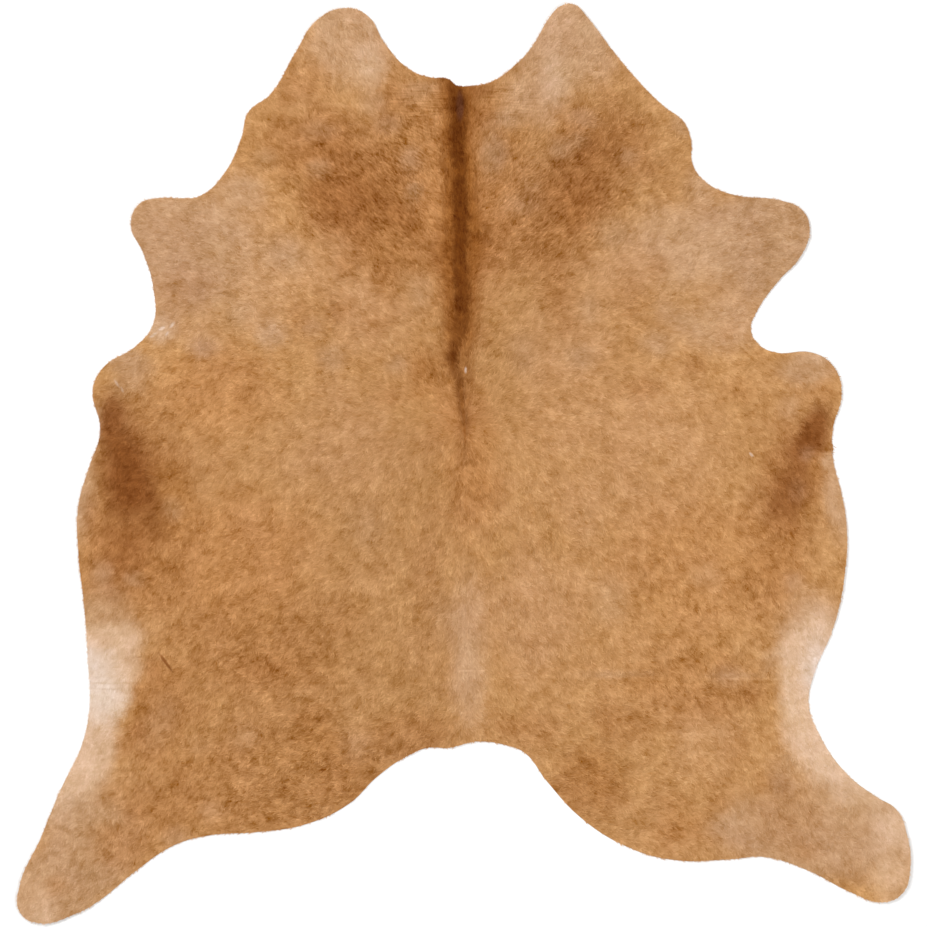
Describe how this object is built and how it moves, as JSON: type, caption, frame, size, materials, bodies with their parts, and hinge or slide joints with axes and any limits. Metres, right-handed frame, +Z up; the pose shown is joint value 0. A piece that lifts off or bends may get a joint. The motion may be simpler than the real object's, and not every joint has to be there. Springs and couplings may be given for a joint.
{
  "type": "hair-on cowhide rug",
  "caption": "Whole cowhide with short tan hair, trimmed along the neck, legs and belly, laid out flat as a floor rug, with its storage folds still showing.",
  "frame": {"origin": "on the floor, under the middle of the hide's length and width", "axes": "+Y towards the neck, along the spine; +X towards the hide's side that lies right of the spine as seen from above with the neck away from the viewer; +Z up, out of the hair side"},
  "size_m": [2.0387, 2.0984, 0.0123],
  "materials": {
    "hair_coat": "short flat-lying hair, soft sheen"
  },
  "bodies": {
    "root": {"hide": "hair_coat"}
  },
  "joints": []
}
